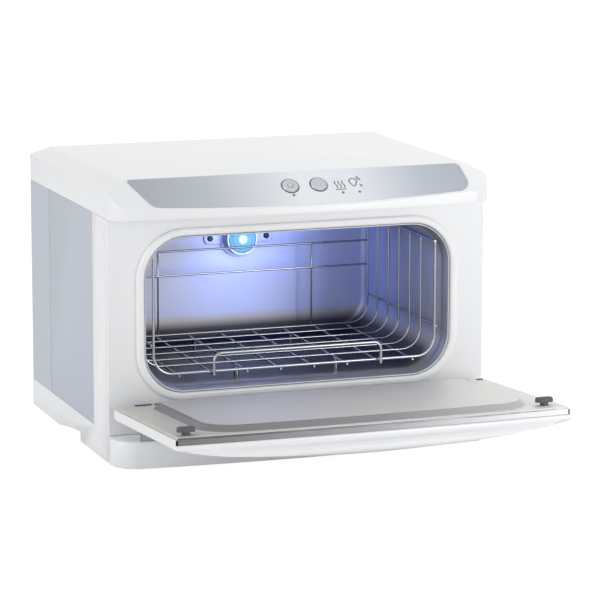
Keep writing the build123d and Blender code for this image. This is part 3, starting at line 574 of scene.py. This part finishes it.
def field_outline():
    """Outline of the raised field: round corners and a front edge bowed like the door's."""
    wide, rear, side, bow = 167.5, 13.0, 195.0, 4.0
    front_round, rear_round, steps = 38.0, 18.0, 10
    spots = []
    for i in range(steps + 1):
        a = -pi / 2 + pi / 2 * i / steps
        spots.append((wide - rear_round + rear_round * cos(a), rear + rear_round + rear_round * sin(a)))
    for i in range(steps + 1):
        a = pi / 2 * i / steps
        spots.append((wide - front_round + front_round * cos(a), side - front_round + front_round * sin(a)))
    flat = wide - front_round
    for i in range(1, 12):
        x = flat - 2 * flat * i / 12
        spots.append((x, side + bow * (1 - (x / flat) ** 2)))
    for i in range(steps + 1):
        a = pi / 2 + pi / 2 * i / steps
        spots.append((-flat + front_round * cos(a), side - front_round + front_round * sin(a)))
    for i in range(steps + 1):
        a = pi + pi / 2 * i / steps
        spots.append((-wide + rear_round + rear_round * cos(a), rear + rear_round + rear_round * sin(a)))
    return spots


def make_door_lining():
    """Steel sheet with a folded edge and a pressed field whose walls flow into it."""
    bm = bmesh.new()
    front = bowed_front(door_half, door_side_length, door_bow)
    slab(bm, [(-door_half, 0), (door_half, 0)] + front, -2.4, 0)
    inner = [(x, y - 1.0) for x, y in reversed(front)]
    slab(bm, front + inner, -7.4, -0.5)
    bmesh.ops.recalc_face_normals(bm, faces=bm.faces)
    hem = [
        e for e in bm.edges
        if len(e.link_faces) == 2 and e.calc_face_angle(0) > radians(60)
        and min(v.co.z for v in e.verts) > -0.1 * MM
    ]
    bmesh.ops.bevel(
        bm, geom=hem, offset=0.9 * MM, segments=3, profile=0.5, affect="EDGES", material=-1
    )
    # Pressed field: foot, straight wall and flat top, with tight blends
    rings = [(0, 0.02), (0.5, 0.2), (1.0, 0.75), (5.2, 5.3), (5.9, 5.85), (6.8, 6.0)]
    foot = bm.faces.new([bm.verts.new((x * MM, y * MM, rings[0][1] * MM)) for x, y in field_outline()])
    bmesh.ops.recalc_face_normals(bm, faces=[foot])
    if foot.normal.z < 0:
        foot.normal_flip()
    last_in, last_up = rings[0]
    for inward, height in rings[1:]:
        wall = bmesh.ops.inset_region(
            bm, faces=[foot], thickness=(inward - last_in) * MM, use_boundary=True, use_even_offset=True
        )
        bmesh.ops.translate(bm, verts=foot.verts[:], vec=(0, 0, (height - last_up) * MM))
        # Walls of the field take the darker copy of the sheet: painted shade and dark reflection
        if last_up > 0.1:
            for face in wall["faces"]:
                face.material_index = 1
        last_in, last_up = inward, height
    # The fold along the front takes the darker copy too: painted shade and dark reflection
    for face in bm.faces:
        if face.calc_center_median().y > 0.196 and abs(face.normal.z) < 0.5:
            face.material_index = 1
    stand_on_door(bm)
    return keep(bm, "door_lining", "door", [door_steel, fold_shade_steel], ["door_inner_sheet"], 50)


make_door_lining()


def make_hinge_tongue(name, low_x, high_x, reach):
    """Dark tongue of a hinge arm, hooked over the steel at the door's rear edge."""
    bm = bmesh.new()
    outline = [(low_x, 0.2), (high_x, 0.2), (high_x - 1.5, reach), (low_x + 1.5, reach)]
    slab(bm, outline, -0.3, 1.0)
    bmesh.ops.recalc_face_normals(bm, faces=bm.faces)
    bmesh.ops.bevel(
        bm, geom=bm.edges[:], offset=0.35 * MM, segments=2, profile=0.5, affect="EDGES", material=-1
    )
    stand_on_door(bm)
    bmesh.ops.recalc_face_normals(bm, faces=bm.faces)
    return keep(bm, name, "door", blackened_steel, smooth_angle=40)


make_hinge_tongue("hinge_tongue_left", -178, -160, 3.4)
make_hinge_tongue("hinge_tongue_left_inner", -158, -141, 5.0)
make_hinge_tongue("hinge_tongue_right", 153, 176, 3.4)
make_hinge_tongue("hinge_tongue_right_outer", 186, 194, 2.8)


def smooth_line(points, per):
    """Catmull-Rom curve through the points, with this many steps between each two."""
    line = []
    for i in range(len(points) - 1):
        a, b = Vector(points[i]), Vector(points[i + 1])
        before = Vector(points[max(i - 1, 0)])
        after = Vector(points[min(i + 2, len(points) - 1)])
        for j in range(per):
            t = j / per
            line.append(
                0.5 * (2 * a + (b - before) * t + (2 * before - 5 * a + 4 * b - after) * t**2
                       + (3 * a - before - 3 * b + after) * t**3)
            )
    return line + [Vector(points[-1])]


# The door's outer moulding, in millimetres: half its width, how far its front reaches, its
# depth at the sides and at the middle, and the heights of its own rim and of the fold's
skin_half = 198.5
skin_tip = 207.3
skin_side_depth = 12.0
skin_depth = 35.8
skin_top = -2.7
fold_low = -7.6
# Its hinge slots, by their sides and their end
slot_inner, slot_outer, slot_end = 154.5, 181.5, 20.0
# Its profile at the middle, as (along, up): rear wall and belly, then the finger groove
# under the front edge, then the rim under the steel's fold
skin_back = [
    (-1.2, skin_top), (-1.2, -8), (2.0, -15), (9, -24), (20, -31), (38, -34.6), (90, -skin_depth),
    (150, -34.6),
]
skin_front = [(178, -32.2), (192, -29.4), (199.0, -27.0), (201.6, -24.0), (201.6, -20.5), (203.4, -16.6)]
skin_rim = [
    (206.4, -14.2), (skin_tip, -12.4), (skin_tip, -9.2), (206.8, -8.0), (205.6, fold_low), (203.0, fold_low),
]


def belly(n, share):
    """Depth of the moulding: the profile's own at the middle, less towards the two sides."""
    deepest = skin_depth - skin_side_depth
    fall = max(-n - skin_side_depth, 0) / deepest
    both = fall * share / max(sqrt(fall**2 + share**2 - (fall * share) ** 2), 0.000001)
    return max(n, -skin_side_depth) - both * deepest


def skin_section(x):
    """Profile of the door's outer moulding at this distance across, as (along, up)."""
    share = 1 - (x / skin_half) ** 2
    bow = door_bow * (share - 1)
    spots = [(s, belly(n, share)) for s, n in skin_back]
    for s, n in skin_front:
        # The finger groove dies out towards the sides
        pulled = skin_tip - (skin_tip - s) * (share if s > 198 else 1)
        spots.append((pulled + bow, belly(n, share)))
    spots += [(s + bow, belly(n, share)) for s, n in skin_rim]
    return smooth_line(spots, 3)


def make_door_skin():
    """White outer moulding: bowed belly, groove for the fingers and slots for the hinges."""
    bm = bmesh.new()
    right = [
        0, 20, 40, 60, 80, 100, 118, 134, 146, slot_inner, 164, 173, slot_outer, 188, 194, 197.3, skin_half
    ]
    chains = []
    for x in [-x for x in reversed(right[1:])] + right:
        verts = [bm.verts.new((x * MM, s * MM, n * MM)) for s, n in skin_section(x)]
        chains.append([bm.edges.new(pair) for pair in zip(verts, verts[1:])])
    ends = [chains[0], chains[-1]]
    end_verts = [[v for e in chain for v in e.verts] for chain in ends]
    for one, other in zip(chains, chains[1:]):
        bmesh.ops.bridge_loops(bm, edges=one + other)
    # Side walls reach up to the steel's fold, with a ledge beside it
    for verts, side in zip(end_verts, (-1, 1)):
        rim = []
        for v in verts:
            if v not in rim:
                rim.append(v)
        edge_x, fold_y = side * skin_half * MM, 198.6 * MM
        shoulder = bm.verts.new((edge_x, fold_y, skin_top * MM))
        tip = bm.verts.new((edge_x, fold_y, fold_low * MM))
        wall = bm.faces.new(rim[:-1] + [tip, shoulder])
        edge = next(e for e in wall.edges if set(e.verts) == {rim[0], shoulder})
        ledge = bmesh.ops.extrude_edge_only(bm, edges=[edge])
        moved = [g for g in ledge["geom"] if isinstance(g, bmesh.types.BMVert)]
        bmesh.ops.translate(bm, verts=moved, vec=(-side * 4 * MM, 0, 0))
    bmesh.ops.recalc_face_normals(bm, faces=bm.faces)
    # Hinge slots, open at the rear, with walls up to the steel
    gone = [
        f for f in bm.faces
        if slot_inner * MM < abs(f.calc_center_median().x) < slot_outer * MM
        and f.calc_center_median().y < slot_end * MM
    ]
    bmesh.ops.delete(bm, geom=gone, context="FACES")

    def at_slot(v):
        beside = slot_inner * MM - weld_gap < abs(v.co.x) < slot_outer * MM + weld_gap
        return beside and v.co.y < (slot_end + 12) * MM

    hole = [
        e for e in bm.edges
        if e.is_boundary and all(at_slot(v) for v in e.verts)
        and any(v.co.z < (skin_top - 0.1) * MM for v in e.verts)
    ]
    walls = bmesh.ops.extrude_edge_only(bm, edges=hole)
    for v in (g for g in walls["geom"] if isinstance(g, bmesh.types.BMVert)):
        v.co.z = skin_top * MM
    stand_on_door(bm)
    skin = keep(bm, "door_skin", "door", white_abs, ["door_outer_shell"], 42)
    soft = skin.modifiers.new("edges", "BEVEL")
    soft.width = 0.9 * MM
    soft.segments = 3
    soft.limit_method = "ANGLE"
    soft.angle_limit = radians(50)


make_door_skin()


# Chamber neck: radius of its rounded outline
neck_round = 42.2 * MM


def rounded_mouth(bm, inset_mm, back_mm):
    """Ring of edges along the mouth's rounded outline, drawn smaller and further back."""
    low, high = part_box("chamber_neck")
    wide = high.x - inset_mm * MM
    top, bottom = high.z - inset_mm * MM, low.z + inset_mm * MM
    radius = neck_round - inset_mm * MM
    y = face_y + back_mm * MM
    verts = []
    for corner, (sx, sz) in enumerate(((1, 1), (-1, 1), (-1, -1), (1, -1))):
        mid_x = sx * (wide - radius)
        mid_z = top - radius if sz > 0 else bottom + radius
        for i in range(13):
            a = pi / 2 * (corner + i / 12)
            verts.append(bm.verts.new((mid_x + radius * cos(a), y, mid_z + radius * sin(a))))
    return [bm.edges.new((verts[i], verts[(i + 1) % len(verts)])) for i in range(len(verts))]


def make_neck():
    """Bright rolled lip, a shadow groove behind it and a rounded shoulder into the tank."""
    bm = bmesh.new()
    profile = [
        (0.2, 11.6), (0.2, -1.0), (0.5, -1.7), (1.1, -1.9), (1.6, -1.5), (1.8, -0.6), (1.9, 2.0),
        (2.0, 5.0), (2.3, 7.4), (2.9, 9.4), (3.6, 10.9), (3.9, 11.8), (0.2, 11.8),
    ]
    rings = [rounded_mouth(bm, inset, back) for inset, back in profile]
    for one, other in zip(rings, rings[1:] + rings[:1]):
        bmesh.ops.bridge_loops(bm, edges=one + other)
    bmesh.ops.remove_doubles(bm, verts=bm.verts, dist=weld_gap)
    bmesh.ops.recalc_face_normals(bm, faces=bm.faces)
    return keep(bm, "neck_lip", "cabinet", satin_steel, ["chamber_neck"], 60)


make_neck()


# Lamp lens: radius of its drum, in millimetres
lens_radius = 14.8


def make_lamp_glass():
    """Domed lens with rings, glowing white at its core and cyan towards its rim."""
    glass, tree, main = new_material("lit_lamp_glass", Roughness=0.08, IOR=1.5)
    spot = add(tree, "Mapping", Vector=place(tree), Location=(-lamp_x, 0, -lamp_z))
    axes = add(tree, "SeparateXYZ", Vector=spot.outputs["Vector"])
    flat = add(tree, "CombineXYZ", X=axes.outputs["X"], Z=axes.outputs["Z"])
    far = add(tree, "VectorMath", {"operation": "LENGTH"})
    tree.links.new(flat.outputs["Vector"], far.inputs[0])
    share = add(tree, "MapRange", Value=far.outputs["Value"], From_Min=1 * MM, From_Max=15.5 * MM)
    ramp = add(tree, "ValToRGB")
    tree.links.new(share.outputs["Result"], ramp.inputs["Fac"])
    stops = ramp.color_ramp.elements
    stops[0].position, stops[0].color = 0.0, srgb("#FFFFFF")
    stops[1].position, stops[1].color = 1.0, srgb("#3A7F92")
    rings = (
        (0.2, "#F4FEFF"), (0.3, "#9AD2DC"), (0.45, "#6BB0BE"), (0.55, "#98CDD6"), (0.68, "#5C9FB0"),
        (0.8, "#86C0CC"),
    )
    for at, colour in rings:
        stops.new(at).color = srgb(colour)
    tree.links.new(ramp.outputs["Color"], main.inputs["Emission Color"])
    main.inputs["Base Color"].default_value = srgb("#24505E")
    main.inputs["Emission Strength"].default_value = 0.85
    bm = bmesh.new()
    profile = [(lens_radius, 0.0), (lens_radius, 11.0)]
    for ring in range(6):
        radius = 14.2 - 1.9 * ring
        height = 11.4 + 3.0 * (1 - (radius / lens_radius) ** 2)
        profile += [(radius, height + 0.25), (radius - 0.95, height - 0.2)]
    profile.append((0, 14.4))
    spin_profile(bm, profile)
    turn = Matrix(((1, 0, 0), (0, 0, 1), (0, -1, 0))).transposed().to_4x4()
    turn.translation = (lamp_x, lamp_high.y, lamp_z)
    bmesh.ops.transform(bm, matrix=turn, verts=bm.verts)
    return keep(bm, "lamp_lens", "cabinet", glass, ["uv_lamp"], 40)


make_lamp_glass()


# Light, floor and camera


def add_light(name, kind, spot, aim, power):
    """Light of this kind at a spot, turned to shine at its aim."""
    lamp = bpy.data.lights.new(name, kind)
    lamp.energy = power
    holder = bpy.data.objects.new(name, lamp)
    bpy.context.scene.collection.objects.link(holder)
    holder.location = spot
    holder.rotation_mode = "QUATERNION"
    holder.rotation_quaternion = (Vector(aim) - Vector(spot)).to_track_quat("-Z", "Y")
    return holder


# Square softboxes: place, aim, size, power, and whether the camera and reflections see them
softboxes = (
    ("front_softbox", (0.6, -2.4, 0.3), (0, 0, 0.15), 1.2, 2, True),
    ("left_softbox", (-2.4, -0.4, 1.0), (0, 0, 0.15), 1.6, 22, True),
    ("right_softbox", (0.9, 0.1, 1.2), (0, 0, 0.25), 0.7, 5, False),
    ("right_front_softbox", (0.9, -1.6, 0.35), (0.1, 0, 0.2), 0.8, 9, True),
    ("back_softbox", (0.6, 2.4, 1.0), (0, 0, 0.15), 1.6, 14, False),
)
for name, spot, aim, size, power, shown in softboxes:
    box = add_light(name, "AREA", spot, aim, power)
    box.data.size = size
    if not shown:
        box.visible_glossy = False
        box.visible_camera = False

# Wide soft beam of the lamp inside the chamber, kept off the door in front
lamp_front = Vector((lamp_x, lamp_low.y - 45 * MM, lamp_z))
glow = add_light("lamp_light", "SPOT", lamp_front, lamp_front + Vector((0.14, 0.3, -0.24)), 0.8)
glow.data.color = srgb("#748CF6")[:3]
glow.data.shadow_soft_size = 0.02
glow.data.spot_size = radians(176)
glow.data.spot_blend = 0.7
glow.visible_glossy = False

# White room: full white where it is seen, and softer as a light
world = bpy.data.worlds.new("pale_room")
bpy.context.scene.world = world
world.use_nodes = True
sky = world.node_tree
background = sky.nodes["Background"]
path = add(sky, "LightPath")
seen = add(sky, "Math", {"operation": "MAXIMUM"})
sky.links.new(path.outputs["Is Camera Ray"], seen.inputs[0])
sky.links.new(path.outputs["Is Glossy Ray"], seen.inputs[1])
either = add(sky, "Math", {"operation": "MAXIMUM"})
sky.links.new(seen.outputs["Value"], either.inputs[0])
sky.links.new(path.outputs["Is Transmission Ray"], either.inputs[1])
level = add(sky, "MapRange", Value=either.outputs["Value"], To_Min=0.52, To_Max=1.0)
sky.links.new(level.outputs["Result"], background.inputs["Strength"])
background.inputs["Color"].default_value = (1, 1, 1, 1)

# Pale floor just under the feet, white where the camera sees it
floor_drop = 0.3 * MM
floor_bm = bmesh.new()
bmesh.ops.create_grid(floor_bm, x_segments=1, y_segments=1, size=8)
floor_mesh = bpy.data.meshes.new("floor")
floor_bm.to_mesh(floor_mesh)
floor_bm.free()
floor = bpy.data.objects.new("floor", floor_mesh)
bpy.context.scene.collection.objects.link(floor)
floor_paint, floor_tree, floor_main = new_material("pale_floor", Roughness=0.8)
floor_main.inputs["Base Color"].default_value = srgb("#F4F4F5")
floor_path = add(floor_tree, "LightPath")
floor_white = add(floor_tree, "Emission", Color=(1, 1, 1, 1), Strength=1.14)
floor_share = add(floor_tree, "Math", {"operation": "MULTIPLY"})
floor_tree.links.new(floor_path.outputs["Is Camera Ray"], floor_share.inputs[0])
floor_share.inputs[1].default_value = 0.85
floor_mix = add(floor_tree, "MixShader", Fac=floor_share.outputs["Value"])
floor_tree.links.new(floor_main.outputs["BSDF"], floor_mix.inputs[1])
floor_tree.links.new(floor_white.outputs["Emission"], floor_mix.inputs[2])
floor_tree.links.new(floor_mix.outputs["Shader"], floor_tree.nodes["Material Output"].inputs["Surface"])
floor_mesh.materials.append(floor_paint)
for vertex in floor_mesh.vertices:
    vertex.co.z = -floor_drop

# Camera, from the photograph's perspective
camera_spot = Vector((-1.0143, -2.8172, 0.7150))
camera_yaw = radians(20.04)
camera_dip = radians(10.69)
camera_roll = radians(-0.11)
focal_pixels = 3015.4
picture_pixels = 600
lens = bpy.data.cameras.new("camera")
lens.sensor_width = 36.0
lens.lens = lens.sensor_width * focal_pixels / picture_pixels
camera = bpy.data.objects.new("camera", lens)
bpy.context.scene.collection.objects.link(camera)
reach = cos(camera_dip)
forward = Vector((sin(camera_yaw) * reach, cos(camera_yaw) * reach, -sin(camera_dip)))
level_right = Vector((cos(camera_yaw), -sin(camera_yaw), 0))
down = forward.cross(level_right)
right = level_right * cos(camera_roll) + down * sin(camera_roll)
up = level_right * sin(camera_roll) - down * cos(camera_roll)
turn = Matrix((right, up, -forward)).transposed().to_4x4()
turn.translation = camera_spot
camera.matrix_world = turn
bpy.context.scene.camera = camera
bpy.context.scene.view_settings.view_transform = "Standard"
